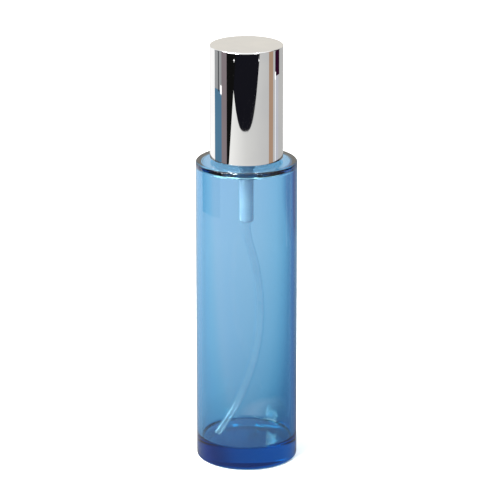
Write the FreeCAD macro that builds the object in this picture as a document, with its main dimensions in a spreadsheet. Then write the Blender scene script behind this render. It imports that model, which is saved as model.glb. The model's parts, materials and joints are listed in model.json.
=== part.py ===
"""Perfume atomiser: a glass bottle, a screw-on fine mist pump and a metal overcap.

Millimetres, +Z up. The origin is the centre of the bottle's base, on the surface it stands on.
The spray leaves along -Y. Every piece is round about Z, apart from the dip tube and the nozzle.
"""

import FreeCAD
import Part

import math
import os

import Sketcher

DOC = FreeCAD.newDocument("atomiser")
SHEET = DOC.addObject("Spreadsheet::Sheet", "Sizes")

# Driving dimensions, in mm and degrees. Radii unless the name says otherwise.
SIZES = {
    # Bottle
    "body_radius": 16.5,
    "body_wall": 1.8,
    "shoulder_height": 101.0,
    "shoulder_rise": 0.2,
    "shoulder_wall": 1.8,
    "shoulder_fillet": 0.8,
    "heel_fillet": 0.7,
    "base_thickness": 6.8,
    "floor_crown": 0.3,
    "shoulder_inside_fillet": 0.8,
    "floor_fillet": 0.9,
    "pushup_radius": 12.6,
    "pushup_depth": 0.3,
    "neck_radius": 7.8,
    "neck_bore": 5.8,
    "neck_height": 12.2,
    "neck_root_fillet": 0.8,
    "lip_fillet": 0.5,
    # Screw thread
    "thread_pitch": 3.175,
    "thread_sink": 0.2,
    "glass_thread_depth": 1.05,
    "glass_thread_root": 1.7,
    "glass_thread_crest": 0.9,
    "glass_thread_turns": 1.5,
    "glass_thread_start": 3.2,
    "collar_thread_depth": 1.0,
    "collar_thread_root": 1.2,
    "collar_thread_crest": 0.7,
    "collar_thread_turns": 1.25,
    "thread_drop": 1.185,
    # Gasket and pump housing
    "gasket_radius": 7.6,
    "gasket_thickness": 1.0,
    "flange_radius": 7.7,
    "flange_thickness": 1.2,
    "rim_radius": 4.6,
    "rim_height": 1.6,
    "housing_radius": 3.8,
    "housing_length": 15.4,
    "taper_length": 2.6,
    "plug_bore": 3.4,
    "plug_bore_depth": 4.6,
    "metering_bore": 2.8,
    "metering_depth": 13.8,
    "ball_chamber": 1.45,
    "ball_chamber_depth": 3.4,
    "inlet_radius": 0.75,
    "inlet_length": 1.3,
    "nub_reach": 1.05,
    "nub_thickness": 0.4,
    "nub_drop": 1.1,
    "nub_angle": 36.0,
    "vent_radius": 0.4,
    "vent_drop": 3.0,
    "socket_length": 13.0,
    "socket_radius": 2.25,
    "socket_end_fillet": 0.7,
    # Retainer
    "retainer_radius": 6.0,
    "retainer_top": 1.0,
    "retainer_gap": 0.15,
    "retainer_plug_length": 3.8,
    "seal_bore": 1.78,
    "tower_radius": 2.9,
    "tower_height": 1.0,
    "stem_hole": 1.85,
    "snap_gap": 0.03,
    # Plunger: stem, piston, piston seat and return spring
    "stem_radius": 1.75,
    "stem_bore": 0.9,
    "stem_foot_radius": 1.6,
    "stem_foot_length": 0.7,
    "stem_flange_radius": 2.5,
    "stem_flange_thickness": 0.95,
    "stem_top_above_collar": 10.8,
    "stop_gap": 0.05,
    "piston_slip": 0.65,
    "piston_length": 2.83,
    "piston_running_gap": 0.02,
    "piston_bore": 1.25,
    "piston_sleeve": 1.7,
    "piston_web": 0.5,
    "lip_length": 0.6,
    "lip_thickness": 0.16,
    "seat_pin_radius": 0.95,
    "seat_pin_reach": 4.0,
    "seat_flange_radius": 2.1,
    "seat_flange_thickness": 0.5,
    "seat_spigot_radius": 1.2,
    "seat_spigot_length": 1.0,
    "flute_width": 0.5,
    "flute_depth": 0.4,
    "spring_mean_radius": 1.85,
    "spring_wire_radius": 0.22,
    "spring_turns": 6.5,
    "spring_gap": 0.01,
    "ball_radius": 1.2,
    "ball_gap": 0.02,
    # Dip tube: the curl it keeps from the coil that it was cut from
    "tube_radius": 1.3,
    "tube_bore": 0.9,
    "tube_insertion": 12.2,
    "tube_stub": 0.8,
    "tube_bearing": 20.0,
    # Collar
    "collar_radius": 10.4,
    "collar_skin": 0.4,
    "collar_wall": 1.0,
    "collar_gap": 0.4,
    "collar_hem": 0.3,
    "collar_top": 1.2,
    "collar_opening": 6.6,
    "chimney_radius": 8.0,
    "chimney_height": 5.0,
    "collar_edge_fillet": 0.35,
    # Actuator
    "button_radius": 6.7,
    "button_skin": 0.4,
    "button_cavity": 6.25,
    "button_drop": 1.2,
    "button_height": 12.6,
    "button_dish": 0.6,
    "button_ceiling": 3.2,
    "boss_radius": 3.0,
    "boss_bottom": 2.4,
    "boss_running_gap": 0.03,
    "feed_radius": 0.8,
    "feed_height": 3.3,
    "feed_channel_radius": 0.45,
    "nozzle_height": 8.4,
    "nozzle_radius": 2.0,
    "nozzle_pocket_start": 3.6,
    "nozzle_post_radius": 0.9,
    "nozzle_post_length": 2.3,
    "nozzle_length": 3.1,
    "nozzle_front_wall": 0.85,
    "nozzle_cup_bore": 1.25,
    "nozzle_recess": 0.15,
    "orifice_radius": 0.15,
    "swirl_radius": 0.5,
    "swirl_depth": 0.3,
    "nozzle_window": 2.15,
    # Overcap
    "overcap_radius": 11.85,
    "overcap_skin": 0.45,
    "overcap_lift": 0.5,
    "overcap_length": 37.1,
    "overcap_fillet": 0.45,
    "liner_wall": 0.75,
    "liner_top": 0.9,
    "liner_recess": 0.3,
    "bead_height": 0.2,
    "bead_start": 0.8,
    "bead_width": 0.6,
    "rib_reach": 8.9,
    "rib_thickness": 1.0,
    "rib_count": 6,
}

# The dip tube's curl below its straight stub: (radius in mm, turn in degrees), + to the right.
TUBE_CURL = ((25.0, 17.5), (80.0, -12.5), (64.0, -41.0))
TUBE_LAST_RUN = 4.5


class Size:
    """A length that knows both its value and the spreadsheet expression that gives it."""

    def __init__(self, value, text):
        self.value = value
        self.text = text

    def _with(self, other, sign, value):
        text = other.text if isinstance(other, Size) else str(other)
        return Size(value, f"({self.text} {sign} {text})")

    def __add__(self, other):
        return self._with(other, "+", self.value + number(other))

    def __sub__(self, other):
        return self._with(other, "-", self.value - number(other))

    def __mul__(self, other):
        return self._with(other, "*", self.value * number(other))

    def __truediv__(self, other):
        return self._with(other, "/", self.value / number(other))

    def __neg__(self):
        return Size(-self.value, f"(0 - {self.text})")


def number(size):
    """The plain value of a Size or of a number."""
    return size.value if isinstance(size, Size) else float(size)


def drive(thing, field, value):
    """Sets one property of a document object and ties it to the spreadsheet."""
    setattr(thing, field, number(value))
    thing.setExpression(field, value.text)


def fill_sheet():
    """Writes every driving dimension to the sheet, with its alias."""
    for row, (alias, value) in enumerate(SIZES.items(), start=1):
        SHEET.set(f"A{row}", alias)
        SHEET.set(f"B{row}", str(value))
        SHEET.setAlias(f"B{row}", alias)
    DOC.recompute()


def size(alias):
    return Size(float(SIZES[alias]), f"Sizes.{alias}")


def new_body(label):
    body = DOC.addObject("PartDesign::Body", label)
    body.Label = label
    return body


def plane(body, role):
    """One of the body's own origin planes or axes, by its role."""
    return next(o for o in body.Origin.OriginFeatures if o.Role == role)


def new_sketch(body, name, role="XZ_Plane", offset=None):
    """An empty sketch on one of the body's origin planes, moved along its normal by offset."""
    sketch = body.newObject("Sketcher::SketchObject", f"{body.Name}_{name}")
    sketch.AttachmentSupport = [(plane(body, role), "")]
    sketch.MapMode = "FlatFace"
    if offset is not None:
        sketch.AttachmentOffset = FreeCAD.Placement(
            FreeCAD.Vector(0, 0, number(offset)), FreeCAD.Rotation()
        )
        sketch.setExpression("AttachmentOffset.Base.z", offset.text)
    return sketch


def bind(sketch, kind, *where, to):
    """Adds a dimensional constraint and ties it to the spreadsheet."""
    index = sketch.addConstraint(Sketcher.Constraint(kind, *where, number(to)))
    if isinstance(to, Size):
        sketch.setExpression(f"Constraints[{index}]", to.text)


def place_point(sketch, geometry, end, x, z):
    """Fixes one end of a sketch line by its distance from the origin along both axes."""
    if number(x) == 0:
        sketch.addConstraint(Sketcher.Constraint("PointOnObject", geometry, end, -2))
    else:
        bind(sketch, "DistanceX", -1, 1, geometry, end, to=x)
    if number(z) == 0:
        sketch.addConstraint(Sketcher.Constraint("PointOnObject", geometry, end, -1))
    else:
        bind(sketch, "DistanceY", -1, 1, geometry, end, to=z)


def draw_outline(sketch, outline):
    """Draws a closed outline of (radius, height) corners.

    A corner written as (radius, height, "arc") is joined to the next one by an arc
    whose centre lies on the Z axis, which makes a dome or a dish when revolved.
    """
    corners = [FreeCAD.Vector(number(c[0]), number(c[1]), 0) for c in outline]
    ends = []
    for i, corner in enumerate(outline):
        start, stop = corners[i], corners[(i + 1) % len(corners)]
        if len(corner) == 2:
            line = sketch.addGeometry(Part.LineSegment(start, stop), False)
            ends.append((line, 1, 2))
            continue
        middle = (stop.x**2 + stop.y**2 - start.x**2 - start.y**2) / (2 * (stop.y - start.y))
        centre = FreeCAD.Vector(0, middle, 0)
        angles = [math.atan2(p.y - middle, p.x) for p in (start, stop)]
        circle = Part.Circle(centre, FreeCAD.Vector(0, 0, 1), (start - centre).Length)
        forward = angles[0] < angles[1]
        arc = sketch.addGeometry(Part.ArcOfCircle(circle, min(angles), max(angles)), False)
        sketch.addConstraint(Sketcher.Constraint("PointOnObject", arc, 3, -2))
        ends.append((arc, 1, 2) if forward else (arc, 2, 1))
    for i, (geometry, start_end, _) in enumerate(ends):
        before, _, last_end = ends[i - 1]
        sketch.addConstraint(
            Sketcher.Constraint("Coincident", before, last_end, geometry, start_end)
        )
        place_point(sketch, geometry, start_end, outline[i][0], outline[i][1])


def revolve(body, name, outline, angle=None):
    """Turns an outline about Z. With an angle it makes a sector centred on the sketch."""
    sketch = new_sketch(body, name)
    draw_outline(sketch, outline)
    feature = body.newObject("PartDesign::Revolution", f"{body.Name}_{name}_turned")
    feature.Profile = sketch
    feature.ReferenceAxis = (sketch, ["V_Axis"])
    feature.Angle = 360.0 if angle is None else number(angle)
    if angle is not None:
        feature.Midplane = True
        feature.setExpression("Angle", angle.text)
    DOC.recompute()
    return feature


def turned(label, outline):
    """A body that is one revolved outline."""
    body = new_body(label)
    revolve(body, "profile", outline)
    return body


def round_edges(body, kind, amount, circles):
    """Fillets or chamfers the circular edges at these (radius, height) places."""
    base = body.Tip
    names = []
    for radius, height in circles:
        for index, edge in enumerate(base.Shape.Edges, start=1):
            if edge.Degenerated or not isinstance(edge.Curve, Part.Circle):
                continue
            curve = edge.Curve
            near = abs(curve.Radius - number(radius)) < 1e-4
            if near and abs(curve.Center.z - number(height)) < 1e-4:
                names.append(f"Edge{index}")
    if len(names) < len(circles):
        raise RuntimeError(f"{body.Label}: an edge to round wasn't found")
    feature = body.newObject(f"PartDesign::{kind}", f"{body.Name}_{kind}")
    feature.Base = (base, names)
    drive(feature, "Radius" if kind == "Fillet" else "Size", amount)
    DOC.recompute()


def add_thread(body, name, outline, turns):
    """A right-handed helical ridge of this section, from the sketch upwards."""
    sketch = new_sketch(body, name)
    draw_outline(sketch, outline)
    ridge = body.newObject("PartDesign::AdditiveHelix", f"{body.Name}_{name}_ridge")
    ridge.Profile = sketch
    ridge.ReferenceAxis = (sketch, ["V_Axis"])
    ridge.Mode = "pitch-turns-angle"
    drive(ridge, "Pitch", size("thread_pitch"))
    drive(ridge, "Turns", turns)
    ridge.LeftHanded = False
    ridge.Reversed = False
    DOC.recompute()


def pocket(body, name, circles, depth, offset=None, outward=True, role="XZ_Plane"):
    """Cuts along the sketch's normal: circles are (x, z, radius) Sizes or numbers."""
    before = body.Shape.Volume
    sketch = new_sketch(body, name, role, offset)
    for x, z, radius in circles:
        middle = FreeCAD.Vector(number(x), number(z), 0)
        circle = sketch.addGeometry(
            Part.Circle(middle, FreeCAD.Vector(0, 0, 1), number(radius)), False
        )
        place_point(sketch, circle, 3, x, z)
        bind(sketch, "Radius", circle, to=radius)
    cut = body.newObject("PartDesign::Pocket", f"{body.Name}_{name}_cut")
    cut.Profile = sketch
    drive(cut, "Length", depth)
    cut.Reversed = outward
    DOC.recompute()
    if body.Shape.Volume > before - 1e-6:
        raise RuntimeError(f"{body.Label}: {name} cut nothing")


def polar(body, feature, count):
    """Repeats one feature evenly about Z."""
    pattern = body.newObject("PartDesign::PolarPattern", f"{feature.Name}_pattern")
    pattern.Originals = [feature]
    pattern.Axis = (plane(body, "Z_Axis"), [""])
    pattern.Angle = 360.0
    pattern.Occurrences = count
    body.Tip = pattern
    DOC.recompute()


def levels():
    """The heights that several pieces share."""
    s = size
    z = {}
    z["root"] = s("shoulder_height") + s("shoulder_rise")
    z["lip"] = z["root"] + s("neck_height")
    z["flange"] = z["lip"] + s("gasket_thickness")
    z["flange_top"] = z["flange"] + s("flange_thickness")
    z["rim_top"] = z["flange_top"] + s("rim_height")
    z["plug_end"] = z["rim_top"] - s("retainer_plug_length")
    z["seal_low"] = z["rim_top"] - s("plug_bore_depth")
    z["ledge"] = z["seal_low"] - s("metering_depth")
    z["seat_cone_top"] = z["ledge"] - s("ball_chamber_depth")
    z["seat_cone_end"] = z["seat_cone_top"] - s("ball_chamber") + s("inlet_radius")
    z["socket_top"] = z["seat_cone_end"] - s("inlet_length")
    z["socket_end"] = z["socket_top"] - s("socket_length")
    z["collar_low"] = z["root"] + s("collar_gap")
    z["insert_top"] = z["flange_top"] + s("collar_top")
    z["step"] = z["insert_top"] + s("collar_skin")
    z["chimney_top"] = z["step"] + s("chimney_height")
    z["button_low"] = z["chimney_top"] - s("button_drop")
    z["button_top"] = z["button_low"] + s("button_height")
    z["stem_top"] = z["step"] + s("stem_top_above_collar")
    z["feed"] = z["stem_top"] + s("boss_running_gap") * 3
    z["nozzle"] = z["button_low"] + s("nozzle_height")
    z["stem_flange_top"] = z["seal_low"] - s("stop_gap")
    z["stem_low"] = z["stem_flange_top"] - s("stem_flange_thickness") - s("stem_foot_length")
    z["piston_top"] = z["stem_low"] - s("piston_slip") - s("stop_gap")
    z["piston_low"] = z["piston_top"] - s("piston_length")
    z["cone_low"] = z["piston_low"] - s("seat_flange_radius") + s("piston_bore") - s("ball_gap")
    z["seat_low"] = z["cone_low"] - s("seat_flange_thickness")
    z["overcap_low"] = z["collar_low"] + s("overcap_lift")
    z["overcap_top"] = z["overcap_low"] + s("overcap_length")
    return z


def make_bottle(z):
    s = size
    inside = s("body_radius") - s("body_wall")
    wall = s("shoulder_wall")
    body = turned(
        "bottle",
        [
            (Size(0.0, "0"), s("pushup_depth"), "arc"),
            (s("pushup_radius"), Size(0.0, "0")),
            (s("body_radius"), Size(0.0, "0")),
            (s("body_radius"), s("shoulder_height")),
            (s("neck_radius"), z["root"]),
            (s("neck_radius"), z["lip"]),
            (s("neck_bore"), z["lip"]),
            (s("neck_bore"), z["root"] - wall),
            (inside, s("shoulder_height") - wall),
            (inside, s("base_thickness"), "arc"),
            (Size(0.0, "0"), s("base_thickness") + s("floor_crown")),
        ],
    )
    inner_shoulder = [(inside, s("shoulder_height") - wall)]
    round_edges(body, "Fillet", s("shoulder_inside_fillet"), inner_shoulder)
    round_edges(body, "Fillet", s("floor_fillet"), [(inside, s("base_thickness"))])
    round_edges(body, "Fillet", s("shoulder_fillet"), [(s("body_radius"), s("shoulder_height"))])
    zero = Size(0.0, "0")
    round_edges(body, "Fillet", s("heel_fillet"), [(s("body_radius"), zero)])
    round_edges(body, "Fillet", s("neck_root_fillet"), [(s("neck_radius"), z["root"])])
    lips = [(s("neck_radius"), z["lip"]), (s("neck_bore"), z["lip"])]
    lips += [(s("pushup_radius"), zero), (s("neck_bore"), z["root"] - wall)]
    round_edges(body, "Fillet", s("lip_fillet"), lips)
    root = s("neck_radius") - s("thread_sink")
    crest = s("neck_radius") + s("glass_thread_depth")
    middle = z["root"] + s("glass_thread_start")
    half_root = s("glass_thread_root") / 2
    half_crest = s("glass_thread_crest") / 2
    ridge = [
        (root, middle - half_root),
        (crest, middle - half_crest),
        (crest, middle + half_crest),
        (root, middle + half_root),
    ]
    add_thread(body, "thread", ridge, s("glass_thread_turns"))
    return body


def make_gasket(z):
    s = size
    inner = s("housing_radius") + s("snap_gap")
    return turned(
        "neck_gasket",
        [
            (inner, z["lip"]),
            (s("gasket_radius"), z["lip"]),
            (s("gasket_radius"), z["flange"]),
            (inner, z["flange"]),
        ],
    )


def make_housing(z):
    s = size
    taper_top = z["flange"] - s("housing_length")
    body = turned(
        "pump_housing",
        [
            (s("tube_radius"), z["socket_end"]),
            (s("socket_radius"), z["socket_end"]),
            (s("socket_radius"), taper_top - s("taper_length")),
            (s("housing_radius"), taper_top),
            (s("housing_radius"), z["flange"]),
            (s("flange_radius"), z["flange"]),
            (s("flange_radius"), z["flange_top"]),
            (s("rim_radius"), z["flange_top"]),
            (s("rim_radius"), z["rim_top"]),
            (s("plug_bore"), z["rim_top"]),
            (s("plug_bore"), z["seal_low"]),
            (s("metering_bore"), z["seal_low"]),
            (s("metering_bore"), z["ledge"]),
            (s("ball_chamber"), z["ledge"]),
            (s("ball_chamber"), z["seat_cone_top"]),
            (s("inlet_radius"), z["seat_cone_end"]),
            (s("inlet_radius"), z["socket_top"]),
            (s("tube_radius"), z["socket_top"]),
        ],
    )
    round_edges(body, "Fillet", s("socket_end_fillet"), [(s("socket_radius"), z["socket_end"])])
    nub_top = z["ledge"] - s("nub_drop")
    root = s("ball_chamber") + s("thread_sink")
    nub = revolve(
        body,
        "nub",
        [
            (s("nub_reach"), nub_top - s("nub_thickness")),
            (root, nub_top - s("nub_thickness")),
            (root, nub_top),
            (s("nub_reach"), nub_top),
        ],
        s("nub_angle"),
    )
    polar(body, nub, 4)
    vent = [(Size(0.0, "0"), z["flange"] - s("vent_drop"), s("vent_radius"))]
    pocket(body, "vent", vent, s("flange_radius"), outward=False)
    return body


def make_retainer(z):
    s = size
    top = z["rim_top"] + s("retainer_top")
    skirt = s("rim_radius") + s("snap_gap")
    plug = s("plug_bore") - s("snap_gap")
    return turned(
        "pump_retainer",
        [
            (s("stem_hole"), z["plug_end"]),
            (plug, z["plug_end"]),
            (plug, z["rim_top"]),
            (skirt, z["rim_top"]),
            (skirt, z["flange_top"] + s("retainer_gap")),
            (s("retainer_radius"), z["flange_top"] + s("retainer_gap")),
            (s("retainer_radius"), top),
            (s("tower_radius"), top),
            (s("tower_radius"), top + s("tower_height")),
            (s("stem_hole"), top + s("tower_height")),
        ],
    )


def make_stem_seal(z):
    """The soft washer that the stem's flange closes against at rest."""
    s = size
    outer = s("plug_bore") - s("snap_gap")
    return turned(
        "stem_seal",
        [
            (s("seal_bore"), z["seal_low"]),
            (outer, z["seal_low"]),
            (outer, z["plug_end"]),
            (s("seal_bore"), z["plug_end"]),
        ],
    )


def make_stem(z):
    s = size
    flange_low = z["stem_flange_top"] - s("stem_flange_thickness")
    return turned(
        "stem",
        [
            (s("stem_bore"), z["stem_low"]),
            (s("stem_foot_radius"), z["stem_low"]),
            (s("stem_foot_radius"), flange_low),
            (s("stem_flange_radius"), flange_low),
            (s("stem_flange_radius"), z["stem_flange_top"]),
            (s("stem_radius"), z["stem_flange_top"]),
            (s("stem_radius"), z["stem_top"]),
            (s("stem_bore"), z["stem_top"]),
        ],
    )


def make_piston(z):
    s = size
    outer = s("metering_bore") - s("piston_running_gap")
    inner = outer - s("lip_thickness")
    low, top = z["piston_low"] + s("stop_gap") * 2, z["piston_top"] - s("stop_gap") * 2
    middle = (z["piston_low"] + z["piston_top"]) / 2
    web_edge = inner - s("lip_thickness") * 2
    return turned(
        "piston",
        [
            (s("piston_bore"), z["piston_low"]),
            (s("piston_sleeve"), z["piston_low"]),
            (s("piston_sleeve"), middle - s("piston_web")),
            (web_edge, middle - s("piston_web")),
            (inner, low),
            (outer, low),
            (outer, low + s("lip_length")),
            (inner, middle),
            (outer, top - s("lip_length")),
            (outer, top),
            (inner, top),
            (web_edge, middle + s("piston_web")),
            (s("piston_sleeve"), middle + s("piston_web")),
            (s("piston_sleeve"), z["piston_top"]),
            (s("piston_bore"), z["piston_top"]),
        ],
    )


def make_piston_seat(z):
    s = size
    zero = Size(0.0, "0")
    cone_top = z["cone_low"] + s("seat_flange_radius") - s("seat_pin_radius")
    pin_top = z["stem_low"] + s("seat_pin_reach")
    spigot_low = z["seat_low"] - s("seat_spigot_length")
    body = turned(
        "piston_seat",
        [
            (zero, spigot_low),
            (s("seat_spigot_radius"), spigot_low),
            (s("seat_spigot_radius"), z["seat_low"]),
            (s("seat_flange_radius"), z["seat_low"]),
            (s("seat_flange_radius"), z["cone_low"]),
            (s("seat_pin_radius"), cone_top),
            (s("seat_pin_radius"), z["stem_low"]),
            (s("stem_bore"), z["stem_low"]),
            (s("stem_bore"), pin_top),
            (zero, pin_top),
        ],
    )
    # Four flutes let the liquid climb past the pin into the stem.
    sketch = new_sketch(body, "flute", "XY_Plane", pin_top)
    half = s("flute_width") / 2
    inner = s("stem_bore") - s("flute_depth")
    outer = s("stem_bore") * 2
    draw_outline(sketch, [(inner, -half), (outer, -half), (outer, half), (inner, half)])
    flute = body.newObject("PartDesign::Pocket", "piston_seat_flute_cut")
    flute.Profile = sketch
    drive(flute, "Length", pin_top - cone_top)
    before = body.Shape.Volume
    DOC.recompute()
    if body.Shape.Volume > before - 1e-6:
        raise RuntimeError("piston_seat: the flute cut nothing")
    polar(body, flute, 4)
    return body


def make_spring(z):
    """The compression spring between the housing's ledge and the piston seat."""
    s = size
    low = z["ledge"] + s("spring_wire_radius") + s("spring_gap")
    length = z["seat_low"] - s("spring_wire_radius") - s("spring_gap") - low
    helix = DOC.addObject("Part::Helix", "spring_line")
    helix.LocalCoord = 0
    drive(helix, "Radius", s("spring_mean_radius"))
    drive(helix, "Pitch", length / s("spring_turns"))
    drive(helix, "Height", length)
    helix.setExpression("Placement.Base.z", low.text)
    wire = DOC.addObject("Part::Circle", "spring_wire")
    wire.Placement = FreeCAD.Placement(
        FreeCAD.Vector(number(s("spring_mean_radius")), 0, number(low)),
        FreeCAD.Rotation(FreeCAD.Vector(1, 0, 0), 90),
    )
    drive(wire, "Radius", s("spring_wire_radius"))
    wire.setExpression("Placement.Base.x", s("spring_mean_radius").text)
    wire.setExpression("Placement.Base.z", low.text)
    DOC.recompute()
    spring = DOC.addObject("Part::Sweep", "return_spring")
    spring.Sections = [wire]
    spring.Spine = (helix, [f"Edge{i + 1}" for i in range(len(helix.Shape.Edges))])
    spring.Solid = True
    spring.Frenet = True
    spring.Label = "return_spring"
    DOC.recompute()
    return spring


def make_ball(z):
    """The inlet ball, on a 45 degree seat."""
    s = size
    reach = s("ball_radius") * round(math.sqrt(2), 6)
    height = z["seat_cone_end"] - s("inlet_radius") + reach + s("ball_gap")
    ball = DOC.addObject("Part::Sphere", "inlet_ball")
    drive(ball, "Radius", s("ball_radius"))
    ball.setExpression("Placement.Base.z", height.text)
    ball.Label = "inlet_ball"
    DOC.recompute()
    return ball


def draw_tube_line(sketch, top, stub_end):
    """The dip tube's line: straight in its socket, then tangent arcs, then a straight run."""
    point = FreeCAD.Vector(0, number(top), 0)
    end = FreeCAD.Vector(0, number(stub_end), 0)
    last = sketch.addGeometry(Part.LineSegment(point, end), False)
    place_point(sketch, last, 1, Size(0.0, "0"), top)
    place_point(sketch, last, 2, Size(0.0, "0"), stub_end)
    last_end, point, heading = 2, end, math.radians(-90)
    for radius, turn in TUBE_CURL:
        side = 1 if turn > 0 else -1
        centre = point + FreeCAD.Vector(
            -side * radius * math.sin(heading), side * radius * math.cos(heading), 0
        )
        start_angle = math.atan2(point.y - centre.y, point.x - centre.x)
        stop_angle = start_angle + math.radians(turn)
        circle = Part.Circle(centre, FreeCAD.Vector(0, 0, 1), radius)
        low, high = sorted((start_angle, stop_angle))
        arc = sketch.addGeometry(Part.ArcOfCircle(circle, low, high), False)
        near, far = (1, 2) if turn > 0 else (2, 1)
        sketch.addConstraint(Sketcher.Constraint("Tangent", last, last_end, arc, near))
        bind(sketch, "Radius", arc, to=radius)
        bind(sketch, "Angle", arc, to=math.radians(abs(turn)))
        point = centre + FreeCAD.Vector(math.cos(stop_angle), math.sin(stop_angle), 0) * radius
        heading += math.radians(turn)
        last, last_end = arc, far
    end = point + FreeCAD.Vector(math.cos(heading), math.sin(heading), 0) * TUBE_LAST_RUN
    run = sketch.addGeometry(Part.LineSegment(point, end), False)
    sketch.addConstraint(Sketcher.Constraint("Tangent", last, last_end, run, 1))
    bind(sketch, "Distance", run, to=TUBE_LAST_RUN)


def make_dip_tube(z):
    s = size
    body = new_body("dip_tube")
    top = z["socket_end"] + s("tube_insertion")
    line = new_sketch(body, "line")
    draw_tube_line(line, top, z["socket_end"] - s("tube_stub"))
    section = new_sketch(body, "section", "XY_Plane", top)
    for radius in (s("tube_radius"), s("tube_bore")):
        circle = section.addGeometry(
            Part.Circle(FreeCAD.Vector(), FreeCAD.Vector(0, 0, 1), number(radius)), False
        )
        section.addConstraint(Sketcher.Constraint("Coincident", circle, 3, -1, 1))
        bind(section, "Radius", circle, to=radius)
    pipe = body.newObject("PartDesign::AdditivePipe", "dip_tube_wall")
    pipe.Profile = section
    pipe.Spine = line
    body.Placement = FreeCAD.Placement(
        FreeCAD.Vector(), FreeCAD.Rotation(FreeCAD.Vector(0, 0, 1), s("tube_bearing").value)
    )
    DOC.recompute()
    area = math.pi * (s("tube_radius").value ** 2 - s("tube_bore").value ** 2)
    expected = area * sum(edge.Length for edge in line.Shape.Edges)
    if abs(body.Shape.Volume - expected) > 0.01 * expected:
        raise RuntimeError("dip_tube: the volume isn't the section times the length")
    return body


def make_collar_insert(z):
    s = size
    outer = s("collar_radius") - s("collar_skin")
    inner = outer - s("collar_wall")
    low = z["collar_low"] + s("collar_hem")
    body = turned(
        "collar_insert",
        [
            (inner, low),
            (outer, low),
            (outer, z["insert_top"]),
            (s("collar_opening"), z["insert_top"]),
            (s("collar_opening"), z["flange_top"]),
            (inner, z["flange_top"]),
        ],
    )
    crest = inner - s("collar_thread_depth")
    root = inner + s("thread_sink")
    middle = z["root"] + s("glass_thread_start") - s("thread_drop")
    half_root = s("collar_thread_root") / 2
    half_crest = s("collar_thread_crest") / 2
    ridge = [
        (crest, middle - half_crest),
        (root, middle - half_root),
        (root, middle + half_root),
        (crest, middle + half_crest),
    ]
    add_thread(body, "thread", ridge, s("collar_thread_turns"))
    return body


def make_collar_shell(z):
    s = size
    inner = s("collar_radius") - s("collar_skin")
    chimney_inner = s("chimney_radius") - s("collar_skin")
    body = turned(
        "collar_shell",
        [
            (inner, z["collar_low"]),
            (s("collar_radius"), z["collar_low"]),
            (s("collar_radius"), z["step"]),
            (s("chimney_radius"), z["step"]),
            (s("chimney_radius"), z["chimney_top"]),
            (chimney_inner, z["chimney_top"]),
            (chimney_inner, z["insert_top"]),
            (inner, z["insert_top"]),
        ],
    )
    edges = [(s("collar_radius"), z["step"]), (s("chimney_radius"), z["chimney_top"])]
    round_edges(body, "Fillet", s("collar_edge_fillet"), edges)
    return body


def make_button(z):
    s = size
    zero = Size(0.0, "0")
    boss_bore = s("stem_radius") + s("boss_running_gap")
    dish = z["button_top"] - s("button_dish")
    ceiling = z["button_low"] + s("button_ceiling")
    boss_low = z["button_low"] + s("boss_bottom")
    feed_top = z["feed"] + s("feed_height")
    body = turned(
        "actuator_button",
        [
            (s("button_cavity"), z["button_low"]),
            (s("button_radius"), z["button_low"]),
            (s("button_radius"), z["button_top"], "arc"),
            (zero, dish),
            (zero, feed_top),
            (s("feed_radius"), feed_top),
            (s("feed_radius"), z["feed"]),
            (boss_bore, z["feed"]),
            (boss_bore, boss_low),
            (s("boss_radius"), boss_low),
            (s("boss_radius"), ceiling),
            (s("button_cavity"), ceiling),
        ],
    )
    # The nozzle's pocket is a ring round a post, fed by a channel above the post.
    ring = [(zero, z["nozzle"], s("nozzle_radius")), (zero, z["nozzle"], s("nozzle_post_radius"))]
    start = s("nozzle_pocket_start")
    pocket(body, "nozzle_ring", ring, s("button_radius"), offset=start)
    face = [(zero, z["nozzle"], s("nozzle_post_radius") * 1.2)]
    pocket(body, "post_end", face, s("button_radius"), offset=start + s("nozzle_post_length"))
    ring_middle = (s("nozzle_radius") + s("nozzle_post_radius")) / 2
    channel = [(zero, z["nozzle"] + ring_middle, s("feed_channel_radius"))]
    pocket(body, "feed_channel", channel, start)
    return body


def make_button_shell(z):
    s = size
    zero = Size(0.0, "0")
    dish = z["button_top"] - s("button_dish")
    outer = s("button_radius") + s("button_skin")
    body = turned(
        "actuator_shell",
        [
            (s("button_radius"), z["button_low"]),
            (outer, z["button_low"]),
            (outer, z["button_top"] + s("button_skin"), "arc"),
            (zero, dish + s("button_skin")),
            (zero, dish, "arc"),
            (s("button_radius"), z["button_top"]),
        ],
    )
    top_edge = [(outer, z["button_top"] + s("button_skin"))]
    round_edges(body, "Fillet", s("collar_edge_fillet"), top_edge)
    window = [(zero, z["nozzle"], s("nozzle_window"))]
    pocket(body, "window", window, s("chimney_radius"))
    return body


def make_nozzle(z):
    """The nozzle insert: a cup over the actuator's post, drawn upright and laid along -Y."""
    s = size
    length, wall = s("nozzle_length"), s("nozzle_front_wall")
    swirl_top = length - wall + s("swirl_depth")
    body = turned(
        "nozzle_insert",
        [
            (s("nozzle_cup_bore"), Size(0.0, "0")),
            (s("nozzle_radius"), Size(0.0, "0")),
            (s("nozzle_radius"), length),
            (s("nozzle_cup_bore"), length),
            (s("orifice_radius"), length - s("swirl_depth")),
            (s("orifice_radius"), swirl_top),
            (s("swirl_radius"), swirl_top),
            (s("swirl_radius"), length - wall),
            (s("nozzle_cup_bore"), length - wall),
        ],
    )
    front = s("button_radius") + s("button_skin") - s("nozzle_recess")
    body.Placement = FreeCAD.Placement(
        FreeCAD.Vector(0, -number(front - length), number(z["nozzle"])),
        FreeCAD.Rotation(FreeCAD.Vector(1, 0, 0), 90),
    )
    body.setExpression("Placement.Base.y", (-(front - length)).text)
    body.setExpression("Placement.Base.z", z["nozzle"].text)
    DOC.recompute()
    return body


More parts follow.
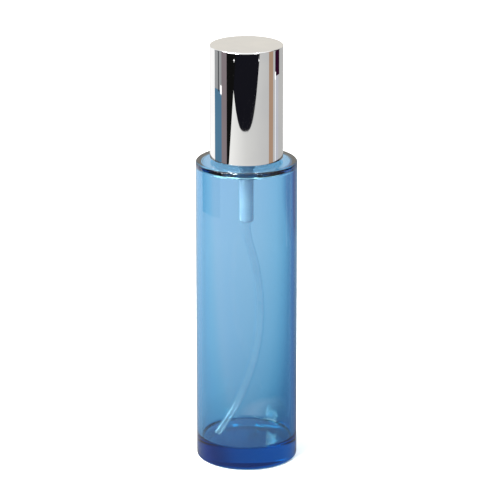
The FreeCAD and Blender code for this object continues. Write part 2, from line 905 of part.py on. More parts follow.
def make_overcap_shell(z):
    s = size
    zero = Size(0.0, "0")
    inner = s("overcap_radius") - s("overcap_skin")
    ceiling = z["overcap_top"] - s("overcap_skin")
    body = turned(
        "overcap_shell",
        [
            (inner, z["overcap_low"]),
            (s("overcap_radius"), z["overcap_low"]),
            (s("overcap_radius"), z["overcap_top"]),
            (zero, z["overcap_top"]),
            (zero, ceiling),
            (inner, ceiling),
        ],
    )
    top_edge = [(s("overcap_radius"), z["overcap_top"])]
    round_edges(body, "Fillet", s("overcap_fillet"), top_edge)
    return body


def make_overcap_liner(z):
    s = size
    zero = Size(0.0, "0")
    outer = s("overcap_radius") - s("overcap_skin")
    inner = outer - s("liner_wall")
    low = z["overcap_low"] + s("liner_recess")
    top = z["overcap_top"] - s("overcap_skin")
    ceiling = top - s("liner_top")
    bead = low + s("bead_start")
    slope = s("bead_height") * 2
    body = turned(
        "overcap_liner",
        [
            (inner, low),
            (outer, low),
            (outer, top),
            (zero, top),
            (zero, ceiling),
            (inner, ceiling),
            (inner, bead + s("bead_width") + slope * 2),
            (inner - s("bead_height"), bead + s("bead_width") + slope),
            (inner - s("bead_height"), bead + slope),
            (inner, bead),
        ],
    )
    # Ribs stand on the collar's step and stop the overcap.
    rib_low = z["step"] + s("stop_gap")
    sketch = new_sketch(body, "rib", "XY_Plane", rib_low)
    half = s("rib_thickness") / 2
    root = inner + s("liner_wall") / 2
    reach = s("rib_reach")
    draw_outline(sketch, [(reach, -half), (root, -half), (root, half), (reach, half)])
    rib = body.newObject("PartDesign::Pad", "overcap_liner_rib_pad")
    rib.Profile = sketch
    drive(rib, "Length", ceiling - rib_low + s("liner_wall") / 2)
    DOC.recompute()
    polar(body, rib, SIZES["rib_count"])
    return body


def main():
    fill_sheet()
    z = levels()
    makers = (
        make_bottle,
        make_gasket,
        make_housing,
        make_retainer,
        make_stem_seal,
        make_stem,
        make_piston,
        make_piston_seat,
        make_spring,
        make_ball,
        make_dip_tube,
        make_collar_insert,
        make_collar_shell,
        make_button,
        make_button_shell,
        make_nozzle,
        make_overcap_shell,
        make_overcap_liner,
    )
    pieces = [make(z) for make in makers]
    DOC.recompute()
    for thing in DOC.Objects:
        if {"Invalid", "Error"} & set(thing.State):
            raise RuntimeError(f"{thing.Label} failed to compute: {thing.State}")
    for piece in pieces:
        shape = piece.Shape
        if shape.isNull() or not shape.isValid() or not shape.Solids:
            raise RuntimeError(f"{piece.Label} has no valid solid")
    os.makedirs("parts", exist_ok=True)
    for piece in pieces:
        piece.Shape.exportStep(os.path.join("parts", f"{piece.Label}.step"))
        print(f"{piece.Label}: {piece.Shape.Volume:.1f} mm3, {len(piece.Shape.Solids)} solid")


main()
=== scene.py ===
"""Perfume atomiser: the looks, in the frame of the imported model, +Z up.

Blender works in metres. The sizes of pieces are written in millimetres, as in the CAD source, and
those of the studio in metres and degrees, with 0 degrees towards the camera and 90 on its right.
"""

import json
import math

import bpy
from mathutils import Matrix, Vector


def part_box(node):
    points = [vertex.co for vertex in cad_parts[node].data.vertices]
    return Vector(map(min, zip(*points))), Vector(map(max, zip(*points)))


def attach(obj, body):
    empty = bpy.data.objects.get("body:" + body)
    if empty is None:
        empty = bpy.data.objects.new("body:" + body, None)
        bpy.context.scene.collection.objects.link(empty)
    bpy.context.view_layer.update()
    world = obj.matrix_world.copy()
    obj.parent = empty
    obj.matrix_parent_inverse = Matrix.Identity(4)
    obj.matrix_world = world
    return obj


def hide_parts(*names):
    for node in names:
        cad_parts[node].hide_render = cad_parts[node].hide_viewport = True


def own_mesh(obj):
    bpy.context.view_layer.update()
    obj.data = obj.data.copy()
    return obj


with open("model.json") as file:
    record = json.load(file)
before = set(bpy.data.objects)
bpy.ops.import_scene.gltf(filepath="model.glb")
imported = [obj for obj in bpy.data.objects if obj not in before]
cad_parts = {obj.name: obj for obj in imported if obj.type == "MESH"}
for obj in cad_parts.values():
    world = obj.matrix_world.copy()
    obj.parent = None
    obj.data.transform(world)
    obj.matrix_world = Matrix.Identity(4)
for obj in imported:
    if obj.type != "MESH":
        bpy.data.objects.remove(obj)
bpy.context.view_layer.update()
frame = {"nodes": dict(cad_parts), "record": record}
MM = 0.001
TURN = 2 * math.pi


def top(node):
    """The height of a node's highest point, in mm."""
    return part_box(node)[1].z / MM


def bottom(node):
    """The height of a node's lowest point, in mm."""
    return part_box(node)[0].z / MM


def radius(node):
    """Half of a node's width, in mm."""
    low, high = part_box(node)
    return (high.x - low.x) / 2 / MM


# ---------------------------------------------------------------- materials


class Material:
    """A node material with short calls for its nodes."""

    def __init__(self, name):
        self.data = bpy.data.materials.new(name)
        self.data.use_nodes = True
        self.tree = self.data.node_tree
        self.shader = self.tree.nodes["Principled BSDF"]
        self.output = self.tree.nodes["Material Output"]

    def node(self, kind, **settings):
        """Adds a node and sets its properties, or its inputs where it has no such property."""
        made = self.tree.nodes.new(kind)
        for key, value in settings.items():
            if hasattr(made, key):
                setattr(made, key, value)
            else:
                made.inputs[key.replace("_", " ")].default_value = value
        return made

    def link(self, source, target):
        self.tree.links.new(source, target)

    def set(self, **values):
        """Sets uniform values on the shader's own sockets."""
        for key, value in values.items():
            self.shader.inputs[key.replace("_", " ")].default_value = value

    def noise(self, size_mm, detail=3.0, stretch=(1, 1, 1)):
        """Noise whose features are about size_mm across."""
        place = self.node("ShaderNodeTexCoord")
        mapping = self.node("ShaderNodeMapping")
        mapping.inputs["Scale"].default_value = stretch
        self.link(place.outputs["Object"], mapping.inputs["Vector"])
        texture = self.node("ShaderNodeTexNoise", Detail=detail, Scale=1 / (size_mm * MM))
        self.link(mapping.outputs["Vector"], texture.inputs["Vector"])
        return texture.outputs["Fac"]

    def ramp(self, source, stops):
        """A colour ramp through (position, colour) stops."""
        made = self.node("ShaderNodeValToRGB")
        ends = made.color_ramp.elements
        while len(ends) < len(stops):
            ends.new(1.0)
        for end, (position, colour) in zip(ends, stops):
            end.position = position
            end.color = (*colour, 1)
        self.link(source, made.inputs["Fac"])
        return made.outputs["Color"]

    def vary(self, socket, noise, low, high):
        """Drives a socket of the shader with noise, between two colours or two numbers."""
        low, high = (value if isinstance(value, tuple) else (value,) * 3 for value in (low, high))
        self.link(self.ramp(noise, [(0.35, low), (0.65, high)]), self.shader.inputs[socket])

    def multiply(self, first, second):
        made = self.node("ShaderNodeMix", data_type="RGBA", blend_type="MULTIPLY")
        made.inputs["Factor"].default_value = 1.0
        colours = [socket for socket in made.inputs if socket.type == "RGBA"]
        self.link(first, colours[0])
        self.link(second, colours[1])
        return next(socket for socket in made.outputs if socket.type == "RGBA")

    def bump(self, noise, depth_mm, strength):
        made = self.node("ShaderNodeBump", Strength=strength, Distance=depth_mm * MM)
        self.link(noise, made.inputs["Height"])
        self.link(made.outputs["Normal"], self.shader.inputs["Normal"])


def blue_glass():
    """Glass coloured right through: thin walls look pale and the heavy base looks deep blue."""
    made = Material("blue_glass")
    made.set(Transmission_Weight=1.0, IOR=1.52, Roughness=0.0, Base_Color=(1, 1, 1, 1))
    made.bump(made.noise(9.0, 1.0, (1, 1, 0.35)), 0.02, 0.5)
    tint = made.node("ShaderNodeVolumeAbsorption", Color=(0.02, 0.728, 0.8755, 1), Density=265.0)
    made.link(tint.outputs["Volume"], made.output.inputs["Volume"])
    return made.data


def mirror_metal():
    """Polished, silver-anodised aluminium with faint handling marks."""
    made = Material("mirror_metal")
    made.set(Metallic=1.0)
    made.vary("Base Color", made.noise(14.0, 2.0), (0.84, 0.84, 0.845), (0.90, 0.895, 0.885))
    made.vary("Roughness", made.noise(5.0, 4.0, (1, 1, 0.4)), 0.008, 0.028)
    made.bump(made.noise(6.0, 2.0, (1, 1, 0.3)), 0.004, 0.4)
    return made.data


def white_plastic():
    """Moulded polypropylene with a fine satin grain."""
    made = Material("white_plastic")
    made.vary("Base Color", made.noise(4.0), (0.80, 0.82, 0.84), (0.88, 0.89, 0.90))
    made.vary("Roughness", made.noise(1.5, 4.0), 0.34, 0.48)
    made.set(Subsurface_Weight=0.25, Subsurface_Scale=0.0015, IOR=1.49)
    made.bump(made.noise(0.4), 0.004, 0.5)
    return made.data


def milky_plastic():
    """Natural polypropylene, as thick as a pump housing: milky."""
    made = Material("milky_plastic")
    made.vary("Base Color", made.noise(3.0), (0.94, 0.88, 0.98), (1.0, 0.94, 1.0))
    made.vary("Roughness", made.noise(1.2, 4.0), 0.28, 0.38)
    made.set(Transmission_Weight=0.25, IOR=1.3)
    made.bump(made.noise(1.5, 2.0), 0.002, 0.2)
    return made.data


def clear_plastic():
    """A thin polyethylene tube, nearly clear under a glossy skin."""
    made = Material("clear_plastic")
    made.vary("Base Color", made.noise(3.0), (0.95, 0.97, 0.99), (0.99, 1.0, 1.0))
    made.vary("Roughness", made.noise(1.2, 4.0), 0.05, 0.12)
    made.set(Transmission_Weight=0.95, IOR=1.02, Coat_Weight=1.0, Coat_Roughness=0.12)
    made.bump(made.noise(2.0, 2.0), 0.002, 0.2)
    return made.data


def soft_seal():
    """Matt grey rubber of the gasket and the seals."""
    made = Material("soft_seal")
    made.vary("Base Color", made.noise(2.0, 4.0), (0.60, 0.61, 0.62), (0.72, 0.73, 0.74))
    made.vary("Roughness", made.noise(0.6, 4.0), 0.55, 0.75)
    made.bump(made.noise(0.25), 0.006, 0.6)
    return made.data


def spring_steel():
    """Drawn stainless wire and the steel ball."""
    made = Material("spring_steel")
    made.set(Metallic=1.0)
    made.vary("Base Color", made.noise(0.5, 4.0), (0.50, 0.50, 0.52), (0.66, 0.66, 0.67))
    made.vary("Roughness", made.noise(0.2, 4.0), 0.18, 0.34)
    made.bump(made.noise(0.15, 2.0), 0.002, 0.5)
    return made.data


# The finish of each of the record's material slots.
FINISH = {
    "blue_glass": blue_glass(),
    "polished_metal": mirror_metal(),
    "white_plastic": white_plastic(),
    "clear_plastic": clear_plastic(),
    "soft_seal": soft_seal(),
    "spring_steel": spring_steel(),
}
SLOTS = {part["node"]: part["material_slot"] for part in frame["record"]["subparts"]}


def give_finish(thing, material):
    thing.data.materials.clear()
    thing.data.materials.append(material)


def finish_cad_nodes():
    for node, slot in SLOTS.items():
        give_finish(frame["nodes"][node], FINISH[slot])


def place_piece(name, mesh, node):
    """Adds a mesh that stands for a CAD node, with the node's finish and body."""
    piece = bpy.data.objects.new(name, mesh)
    bpy.context.scene.collection.objects.link(piece)
    give_finish(piece, FINISH[SLOTS[node]])
    bodies = frame["record"]["behaviour"]["bodies"]
    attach(piece, next(body for body, nodes in bodies.items() if node in nodes))
    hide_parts(node)
    return piece


# ---------------------------------------------------------------- turned pieces


def round_corners(corners, steps):
    """An outline of (radius, height, fillet) corners as (place, outward normal) pairs.

    The outline runs anticlockwise round its material, seen with the radius to the right.
    """
    places = [Vector(corner[:2]) for corner in corners]
    points = []
    for i, (here, corner) in enumerate(zip(places, corners)):
        before = (places[i - 1] - here).normalized()
        after = (places[(i + 1) % len(places)] - here).normalized()
        outward = Vector((-before.y, before.x)) + Vector((after.y, -after.x))
        fillet = corner[2]
        if fillet == 0:
            points.append((here, outward.normalized()))
            continue
        half = before.angle(after) / 2
        centre = here + (before + after).normalized() * (fillet / math.sin(half))
        reach = fillet / math.tan(half)
        spokes = [here + side * reach - centre for side in (before, after)]
        start, stop = (math.atan2(spoke.y, spoke.x) for spoke in spokes)
        bend = math.remainder(stop - start, TURN)
        for step in range(steps + 1):
            angle = start + bend * step / steps
            spoke = Vector((math.cos(angle), math.sin(angle)))
            side = 1 if spoke.dot(outward) > 0 else -1
            points.append((centre + spoke * fillet, spoke * side))
    return points


def dome(edge_radius, edge_height, rise):
    """Corners along a shallow dome, from its edge to the axis."""
    steps = 12
    crown = (edge_radius**2 + rise**2) / (2 * rise)
    drop = math.sqrt(crown**2 - edge_radius**2)
    found = []
    for step in range(1, steps + 1):
        reach = edge_radius * (1 - step / steps)
        found.append((reach, edge_height + math.sqrt(crown**2 - reach**2) - drop, 0))
    return found


def lathe(name, corners, node, segments, steps):
    """Turns an outline in mm about Z, with exact normals, in place of a CAD node.

    A fillet has so many steps. A point on the axis gives one vertex, and others a ring of them.
    """
    points = round_corners([tuple(size * MM for size in corner) for corner in corners], steps)
    verts, normals, rings = [], [], []
    for place, normal in points:
        first = len(verts)
        if place.x < 1e-9:
            verts.append((0, 0, place.y))
            normals.append((0, 0, math.copysign(1, normal.y)))
        else:
            for s in range(segments):
                across, away = math.cos(TURN * s / segments), math.sin(TURN * s / segments)
                verts.append((place.x * across, place.x * away, place.y))
                normals.append((normal.x * across, normal.x * away, normal.y))
        rings.append(range(first, len(verts)))
    faces = []
    for here, there in zip(rings, rings[1:] + rings[:1]):
        for s in range(segments):
            low_edge = here[s % len(here)], here[(s + 1) % len(here)]
            high_edge = there[(s + 1) % len(there)], there[s % len(there)]
            face = list(dict.fromkeys(low_edge + high_edge))
            if len(face) > 2:
                faces.append(face)
    mesh = bpy.data.meshes.new(name)
    mesh.from_pydata(verts, [], faces)
    mesh.shade_smooth()
    mesh.normals_split_custom_set_from_vertices(normals)
    return place_piece(name, mesh, node)


# ---------------------------------------------------------------- tubes, wires and threads


def skin(name, rows, closed, sharp, node):
    """A skin through rows of places in mm, each row a loop, in place of a CAD node.

    The rows form a closed chain, or one with a cap at each end. Edges that turn by more than
    sharp degrees stay sharp.
    """
    count, around = len(rows), len(rows[0])
    verts = [place * MM for row in rows for place in row]
    faces = []
    for i in range(count if closed else count - 1):
        here, there = i * around, (i + 1) % count * around
        for s in range(around):
            after = (s + 1) % around
            faces.append((here + s, here + after, there + after, there + s))
    if not closed:
        faces.append(tuple(reversed(range(around))))
        faces.append(tuple(range((count - 1) * around, count * around)))
    mesh = bpy.data.meshes.new(name)
    mesh.from_pydata(verts, [], faces)
    mesh.shade_smooth()
    mesh.set_sharp_from_angle(angle=math.radians(sharp))
    return place_piece(name, mesh, node)


def sweep(name, line, outer, inner, node, around):
    """A round tube, or with no inner radius a wire, in place of a CAD node.

    The line is a list of (place, side, up): a centre in mm and two directions across the line.
    """
    stations = [(station, outer) for station in line]
    if inner:
        stations += [(station, inner) for station in reversed(line)]
    rows = []
    for (place, side, up), size in stations:
        angles = [TURN * s / around for s in range(around)]
        rows.append([place + side * size * math.cos(angle) + up * size * math.sin(angle)
                     for angle in angles])
    return skin(name, rows, bool(inner), 50, node)


# ---------------------------------------------------------------- bottle and metal covers

BODY_RADIUS, WALL = radius("bottle"), 1.8
INSIDE_RADIUS = BODY_RADIUS - WALL
SHOULDER, NECK_ROOT = 101.0, 101.2
NECK_RADIUS, NECK_BORE = 7.8, 5.8
FLOOR = 6.8


def make_bottle():
    foot_radius, crown = 12.6, 0.3
    lip = top("bottle")
    outline = [
        (foot_radius, 0, 0.5),
        (BODY_RADIUS, 0, 0.7),
        (BODY_RADIUS, SHOULDER, 0.8),
        (NECK_RADIUS, NECK_ROOT, 0.8),
        (NECK_RADIUS, lip, 0.5),
        (NECK_BORE, lip, 0.5),
        (NECK_BORE, NECK_ROOT - WALL, 0.5),
        (INSIDE_RADIUS, SHOULDER - WALL, 0.8),
        (INSIDE_RADIUS, FLOOR, 0.9),
    ]
    outline += dome(INSIDE_RADIUS, FLOOR, crown)
    outline += reversed(dome(foot_radius, 0, crown))
    lathe("glass_bottle", outline, "bottle", 256, 14)


def make_glass_thread():
    """The neck's screw thread: one ridge that rises for a turn and a half and fades at its ends."""
    pitch, turns, start = 3.175, 1.5, NECK_ROOT + 3.2
    foot, crest = NECK_RADIUS - 0.2, NECK_RADIUS + 1.05
    half_root, half_crest, fillet = 0.85, 0.45, 0.2
    steps, fade, least = 72, 8, 0.2
    corners = [
        (foot, -half_root, 0),
        (crest, -half_crest, fillet),
        (crest, half_crest, fillet),
        (foot, half_root, 0),
    ]
    section = [place for place, _ in round_corners(corners, 4)]
    last = int(turns * steps)
    rows = []
    for i in range(last + 1):
        angle = TURN * i / steps
        height = start + pitch * i / steps
        swell = min(1.0, least + i / fade, least + (last - i) / fade)
        row = []
        for place in section:
            reach = foot + (place.x - foot) * swell
            row.append(Vector((reach * math.cos(angle), reach * math.sin(angle), height + place.y)))
        rows.append(row)
    skin("glass_thread", rows, False, 40, "bottle")


def make_overcap():
    low, high = bottom("overcap_shell"), top("overcap_shell")
    outer, skin_thickness = radius("overcap_shell"), 0.45
    inner, roof = outer - skin_thickness, high - skin_thickness
    outline = [
        (inner, low, 0.12),
        (outer, low, 0.12),
        (outer, high, 0.45),
        (0, high, 0),
        (0, roof, 0),
        (inner, roof, 0.2),
    ]
    lathe("overcap_metal", outline, "overcap_shell", 192, 10)


def make_collar():
    """The collar's metal shell: a skirt, a step and a chimney round the button."""
    low, high = bottom("collar_shell"), top("collar_shell")
    skirt, chimney, thickness = 10.4, 8.0, 0.4
    step = high - 5.0
    outline = [
        (skirt - thickness, low, 0.1),
        (skirt, low, 0.1),
        (skirt, step, 0.35),
        (chimney, step, 0.15),
        (chimney, high, 0.19),
        (chimney - thickness, high, 0.19),
        (chimney - thickness, step - thickness, 0.1),
        (skirt - thickness, step - thickness, 0.1),
    ]
    lathe("collar_metal", outline, "collar_shell", 192, 8)


# ---------------------------------------------------------------- pump

SEAL_LOW = top("pump_housing") - 4.6
LEDGE = SEAL_LOW - 13.8
TUBE_RADIUS, TUBE_BORE = 1.3, 0.9


def make_housing():
    """The pump housing, with its bores, from the dip tube's socket up to its rim."""
    low, rim_top = bottom("pump_housing"), top("pump_housing")
    socket, barrel, flange, rim = 2.25, 3.8, 7.7, 4.6
    inlet, ball_chamber, metering_bore, plug_bore = 0.75, 1.45, 2.8, 3.4
    flange_top = rim_top - 1.6
    flange_low = flange_top - 1.2
    taper_top = flange_low - 15.4
    socket_top = low + 13.0
    inlet_top = socket_top + 1.3
    outline = [
        (TUBE_RADIUS, low, 0),
        (socket, low, 0.7),
        (socket, taper_top - 2.6, 1.0),
        (barrel, taper_top, 1.0),
        (barrel, flange_low, 0),
        (flange, flange_low, 0.15),
        (flange, flange_top, 0.15),
        (rim, flange_top, 0),
        (rim, rim_top, 0.1),
        (plug_bore, rim_top, 0.1),
        (plug_bore, SEAL_LOW, 0),
        (metering_bore, SEAL_LOW, 0),
        (metering_bore, LEDGE, 0),
        (ball_chamber, LEDGE, 0),
        (ball_chamber, inlet_top + ball_chamber - inlet, 0),
        (inlet, inlet_top, 0),
        (inlet, socket_top, 0),
        (TUBE_RADIUS, socket_top, 0),
    ]
    give_finish(lathe("housing", outline, "pump_housing", 96, 6), milky_plastic())


# The dip tube's curl below its straight stub: (radius in mm, turn in degrees), + to the right.
TUBE_CURL = ((25.0, 17.5), (80.0, -12.5), (64.0, -41.0))
TUBE_STUB, TUBE_LAST_RUN = 0.8, 4.5
TUBE_BEARING = 20.0
TUBE_STEP = 0.8


def make_dip_tube():
    """A tube that is straight in its socket, then tangent arcs, then straight to its cut end."""
    bearing = math.radians(TUBE_BEARING)
    across = Vector((math.cos(bearing), math.sin(bearing), 0))
    normal = Vector((-across.y, across.x, 0))
    line = []

    def station(reach, height, heading):
        ahead = across * math.cos(heading) + Vector((0, 0, math.sin(heading)))
        line.append((across * reach + Vector((0, 0, height)), ahead.cross(normal), normal))

    heading = math.radians(-90)
    reach = 0.0
    station(reach, top("dip_tube"), heading)
    height = bottom("pump_housing") - TUBE_STUB
    station(reach, height, heading)
    for arc_radius, turn in TUBE_CURL:
        steps = math.ceil(arc_radius * math.radians(abs(turn)) / TUBE_STEP)
        bend = math.radians(turn) / steps
        chord = 2 * arc_radius * math.sin(abs(bend) / 2)
        for _ in range(steps):
            reach += chord * math.cos(heading + bend / 2)
            height += chord * math.sin(heading + bend / 2)
            heading += bend
            station(reach, height, heading)
    reach += TUBE_LAST_RUN * math.cos(heading)
    height += TUBE_LAST_RUN * math.sin(heading)
    station(reach, height, heading)
    sweep("tube", line, TUBE_RADIUS, TUBE_BORE, "dip_tube", 32)


def make_spring():
    """The return spring: a wire helix on the housing's ledge."""
    wire, mean, turns, steps = 0.22, 1.85, 6.5, 36
    gap, stroke = 0.01, 4.0
    start = LEDGE + wire + gap
    stop = bottom("piston_seat") - wire - gap
    rise = (stop - start) / (turns * TURN)
    line = []
    for i in range(int(turns * steps) + 1):
        angle = TURN * i / steps
        side = Vector((math.cos(angle), math.sin(angle), 0))
        ahead = Vector((-mean * side.y, mean * side.x, rise)).normalized()
        line.append((side * mean + Vector((0, 0, start + rise * angle)), side, ahead.cross(side)))
    spring = sweep("spring", line, wire, 0, "return_spring", 12)
    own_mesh(spring)


# ---------------------------------------------------------------- studio

STUDIO_REACH = 2.0
# The floor and both papers lie a hair under the bottle's foot, so that light still reflects inside
# the glass base, and a hair apart. The painted dark strip lies clear of the bottle.
DARK_LEVEL, GLASS_LEVEL, GLOSS_LEVEL, FLOOR_LEVEL = 0.0, -0.0001, -0.0002, -0.0003


def matt(name, colour):
    """A plain matt surface."""
    made = Material(name)
    made.set(Base_Color=(*colour, 1), Roughness=0.9, Specular_IOR_Level=0.1)
    return made.data


def glow(name, colour, strength=1.0):
    """A surface that only glows."""
    made = Material(name)
    made.set(Base_Color=(0, 0, 0, 1), Roughness=0.9, Specular_IOR_Level=0.0)
    made.set(Emission_Color=(*colour, 1), Emission_Strength=strength)
    return made.data


def painted_glow(name, rings, bearings, blots=()):
    """Glowing paper, whose colour changes with the distance from the bottle and with the bearing.

    Rings are (metres, colour), and bearings (degrees from -90 to 270, colour). Blots are soft
    patches of painted shade and painted light: (bearing, metres, width, length, colour).
    """
    made = Material(name)
    made.set(Base_Color=(0, 0, 0, 1), Specular_IOR_Level=0.0, Emission_Strength=1.0)
    place = made.node("ShaderNodeTexCoord").outputs["Object"]
    length = made.node("ShaderNodeVectorMath", operation="LENGTH")
    made.link(place, length.inputs[0])
    colour = made.ramp(length.outputs["Value"], rings)
    compass = made.node("ShaderNodeTexGradient", gradient_type="RADIAL")
    made.link(place, compass.inputs["Vector"])
    turns = [((degrees + 90) / 360, shade) for degrees, shade in bearings]
    colour = made.multiply(colour, made.ramp(compass.outputs["Fac"], turns))
    for bearing, distance, width, reach, shade in blots:
        spot = made.node("ShaderNodeMapping", vector_type="TEXTURE")
        spot.inputs["Location"].default_value = (*towards(bearing, distance), 0)
        spot.inputs["Rotation"].default_value = (0, 0, math.radians(bearing))
        spot.inputs["Scale"].default_value = (width / 2, reach / 2, 1)
        made.link(place, spot.inputs["Vector"])
        ball = made.node("ShaderNodeTexGradient", gradient_type="SPHERICAL")
        made.link(spot.outputs["Vector"], ball.inputs["Vector"])
        soft = made.ramp(ball.outputs["Fac"], [(0.0, (1, 1, 1)), (0.3, shade)])
        colour = made.multiply(colour, soft)
    made.link(colour, made.shader.inputs["Emission Color"])
    return made.data


def towards(bearing, distance):
    """The x and y of a place so many degrees round from the camera's side."""
    around = math.radians(bearing)
    return distance * math.sin(around), -distance * math.cos(around)


def studio_mesh(name, verts, faces, material, seen_in=None):
    """A part of the studio. Seen in "gloss" or through "glass", it never shows to the camera."""
    mesh = bpy.data.meshes.new(name)
    mesh.from_pydata(verts, [], faces)
    mesh.shade_smooth()
    mesh.materials.append(material)
    made = bpy.data.objects.new(name, mesh)
    bpy.context.scene.collection.objects.link(made)
    if seen_in:
        made.visible_camera = False
        made.visible_diffuse = False
        made.visible_shadow = False
        made.visible_volume_scatter = False
        made.visible_glossy = seen_in == "gloss"
        made.visible_transmission = seen_in == "glass"


def sheet(name, outline, height, material, seen_in=None):
    """A flat sheet of paper or floor."""
    verts = [(x, y, height) for x, y in outline]
    studio_mesh(name, verts, [tuple(range(len(verts)))], material, seen_in)


def paper(name, height, material, seen_in):
    """A round sheet, and a wall a long way off that carries its colours up.

    The wall is there so that low views have no bare horizon.
    """
    count = 48
    ring = [(STUDIO_REACH * math.cos(TURN * s / count), STUDIO_REACH * math.sin(TURN * s / count))
            for s in range(count)]
    sheet(name + "_paper", ring, height, material, seen_in)
    verts = [(x, y, z) for z in (height, STUDIO_REACH) for x, y in ring]
    faces = []
    for i in range(count):
        after = (i + 1) % count
        faces.append((i, after, count + after, count + i))
    studio_mesh(name + "_wall", verts, faces, material, seen_in)


def card(name, start, stop, distance, low, high, colour, strength=1.0, lean=0.0):
    """A curved glowing card round the object, a painted reflection seen only in gloss, from one
    bearing to another.

    The lean is how many degrees its stop edge goes round between its foot and its top.
    """
    steps, rows = 12, 8
    verts, faces = [], []
    for row in range(rows + 1):
        height = low + (high - low) * row / rows
        for i in range(steps + 1):
            bearing = start + (stop + lean * row / rows - start) * i / steps
            verts.append((*towards(bearing, distance), height))
    for row in range(rows):
        for i in range(steps):
            corner = row * (steps + 1) + i
            faces.append((corner, corner + 1, corner + steps + 2, corner + steps + 1))
    studio_mesh(name, verts, faces, glow(name, colour, strength), "gloss")


def make_floor():
    reach = 3.0
    corners = [(-reach, -reach), (reach, -reach), (reach, reach), (-reach, reach)]
    sheet("floor", corners, FLOOR_LEVEL, matt("floor_paper", (0.9, 0.9, 0.9)))


def make_gloss_paper():
    """A glowing copy of the paper that the bottle stands on, seen only in gloss: a painted
    reflection for the mirror cap, with painted shade near the bottle's foot, painted brighter on
    the left.
    """
    # Painted shade of the bottle round its foot.
    rings = [(0.03, (0.42, 0.42, 0.42)), (0.32, (0.80, 0.80, 0.78))]
    # Painted brighter on the left, darker on the right.
    bearings = [
        (-90, (1.35, 1.35, 1.38)),
        (-45, (1.19, 1.19, 1.19)),
        (0, (0.91, 0.91, 0.91)),
        (50, (0.77, 0.77, 0.78)),
        (105, (0.68, 0.68, 0.70)),
        (150, (0.66, 0.66, 0.66)),
        (190, (1.0, 1.0, 1.0)),
        (215, (1.35, 1.35, 1.38)),
    ]
    paper("mirror", GLOSS_LEVEL, painted_glow("mirror_paper", rings, bearings), "gloss")


def make_glass_paper():
    """The same paper as the glass shows it, as a glowing copy seen only through the glass: painted
    shade of the bottle near its foot, painted darker where the edges of the glass bend the light
    round to the sides of the studio, and painted patches of shade and light."""
    rings = [
        # Painted shade of the bottle, darkest at its foot and paler further out.
        (0.010, (0.02, 0.08, 0.26)),
        (0.018, (0.11, 0.19, 0.39)),
        (0.036, (0.28, 0.39, 0.56)),
        (0.06, (0.40, 0.49, 0.67)),
        (0.12, (0.59, 0.61, 0.79)),
        (0.23, (0.76, 0.71, 0.88)),
        (0.31, (0.77, 0.71, 0.90)),
    ]
    bearings = [
        # Painted darker and lighter by bearing: darkest behind the bottle to the right.
        (-90, (0.9, 0.95, 1.0)),
        (120, (0.26, 0.45, 0.65)),
        (138, (0.09, 0.32, 0.60)),
        (150, (0.08, 0.29, 0.48)),
        (159, (0.17, 0.41, 0.56)),
        (167, (0.42, 0.70, 0.80)),
        (172, (0.65, 0.86, 0.92)),
        (179, (0.85, 0.94, 0.97)),
        (185, (0.92, 0.98, 1.02)),
        (188, (1.03, 1.02, 1.03)),
        (192, (0.80, 1.0, 1.04)),
        (197, (0.72, 0.99, 1.07)),
        (209, (0.70, 0.94, 1.04)),
        (220, (0.78, 0.95, 1.06)),
        (270, (0.9, 0.95, 1.0)),
    ]
    blots = [
        # Painted patches: a dark one behind the bottle to the right, and a bright one at its foot.
        (152, 0.33, 0.21, 0.20, (0.25, 0.40, 0.60)),
        (158, 0.040, 0.036, 0.036, (1.8, 1.2, 1.1)),
    ]
    paper("glass", GLASS_LEVEL, painted_glow("glass_paper", rings, bearings, blots), "glass")


def make_painted_dark_reflection():
    """A painted dark reflection: a dark glowing sheet, seen only in gloss, in the gap in front of
    the paper, whose edge curves away at both sides.
    """
    turned, width = -4, 0.26
    nearest, curve, reach = 0.42, 0.33, 60
    near_edge, far_edge = [], []
    for degrees in range(-reach, reach + 1, 4):
        distance = nearest + curve * abs(degrees / reach) ** 3
        near_edge.append(towards(degrees + turned, distance))
        far_edge.append(towards(degrees + turned, distance + width))
    # A painted reflection of a dark room, glowing almost black.
    dark = glow("painted_dark_reflection", (0.008, 0.008, 0.012))
    sheet("painted_dark_reflection", near_edge + far_edge[::-1], DARK_LEVEL, dark, "gloss")


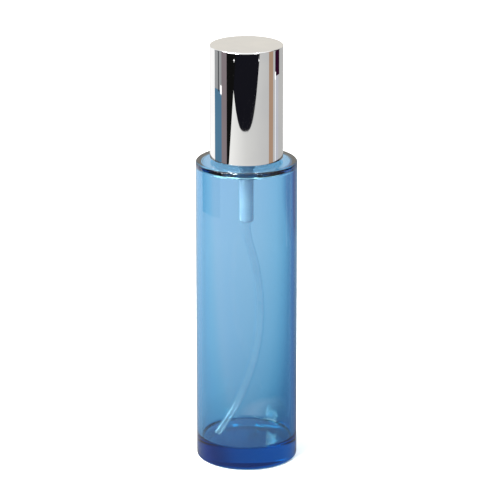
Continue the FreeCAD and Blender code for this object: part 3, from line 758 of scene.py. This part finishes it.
def make_cards():
    """Painted reflections for the mirror cap, on glowing cards seen only in gloss: of stands and
    flags in full height, and small painted glints and lamp highlights.
    """
    near, far, tall = 0.25, 0.29, 0.4
    nearer = 0.99
    blue_top, maroon_foot = 0.052, 0.0685
    white = (1, 1, 1)
    # Painted reflections of dark and coloured stands and flags.
    card("black_left", -63, -57, near, 0.030, 0.085, (0.006, 0.006, 0.006), lean=28)
    card("mauve_left", -83, -60, far, 0, tall, (0.25, 0.21, 0.225))
    card("blue_left", -115, -83, far, 0, blue_top, (0.09, 0.21, 0.33))
    card("grey_left", -115, -83, far, blue_top, tall, (0.36, 0.37, 0.38))
    card("dark_left", -98, -94, far * nearer, blue_top, tall, (0.03, 0.03, 0.035))
    card("copper_right", 73, 90, near, 0, tall, (0.45, 0.30, 0.21))
    card("lavender_right", 98, 116, near, 0, tall, (0.55, 0.56, 0.62))
    card("maroon_right", 99, 121, near * nearer, maroon_foot, tall, (0.03, 0.004, 0.02))
    # A painted reflection of a white strip, and painted glints and lamp highlights.
    card("white_right", 99, 102, 0.245, 0, maroon_foot, white, 1.1)
    card("glint_left", -88, -82, 0.28, 0.0530, 0.0568, white, 1.5)
    card("glint_right", 97.5, 102, 0.24, 0.0690, 0.0722, white, 1.5)
    card("lamp_foot_left", -39.5, -36.5, 0.24, 0.0784, 0.0790, white, 2.0)
    card("lamp_foot_right", 37, 40, 0.5, 0.0126, 0.0132, white, 2.0)
    # A painted reflection of the sky behind.
    card("sky_behind", 140, 220, 1.5, 0.25, 1.6, (0.79, 0.76, 0.70))


def look_from(thing, place, aim):
    thing.location = place
    thing.rotation_mode = "QUATERNION"
    thing.rotation_quaternion = (aim - place).to_track_quat("-Z", "Y")
    bpy.context.scene.collection.objects.link(thing)


def make_lights():
    """A white world, and square lamps given by name, bearing, rise, size and power."""
    world = bpy.data.worlds.new("studio")
    world.use_nodes = True
    sky = world.node_tree.nodes["Background"]
    sky.inputs["Color"].default_value = (1, 1, 1, 1)
    sky.inputs["Strength"].default_value = 1.2
    bpy.context.scene.world = world
    distance, aim = 1.1, Vector((0, 0, 0.07))
    for name, bearing, rise, size, power in (
        ("key", -37, 55, 0.22, 14.0),
        ("fill", 38, 55, 0.22, 3.0),
        ("soft", -75, 40, 0.7, 26.0),
    ):
        light = bpy.data.lights.new(name, "AREA")
        light.size = size
        light.energy = power
        up = math.radians(rise)
        place = Vector((*towards(bearing, distance * math.cos(up)), distance * math.sin(up)))
        look_from(bpy.data.objects.new(name, light), place, aim)


def make_camera():
    """A long lens a metre away, looking down on the bottle by 17.8 degrees."""
    data = bpy.data.cameras.new("camera")
    data.sensor_width = 36.0
    data.lens = 221.3
    data.clip_start, data.clip_end = 0.05, 20.0
    distance, tilt = 1.0, math.radians(17.76)
    aim = Vector((0.00113, 0.0, 0.07036))
    back = Vector((0, -math.cos(tilt), math.sin(tilt)))
    camera = bpy.data.objects.new("camera", data)
    look_from(camera, aim + back * distance, aim)
    bpy.context.scene.camera = camera


def set_up_view():
    """Plain colours, and enough bounces for light to pass through the glass walls."""
    scene = bpy.context.scene
    scene.view_settings.view_transform = "Standard"
    scene.cycles.transmission_bounces = 24
    scene.cycles.max_bounces = 32


finish_cad_nodes()
make_bottle()
make_glass_thread()
make_overcap()
make_collar()
make_housing()
make_dip_tube()
make_spring()

make_floor()
make_gloss_paper()
make_glass_paper()
make_painted_dark_reflection()
make_cards()
make_lights()
make_camera()
set_up_view()
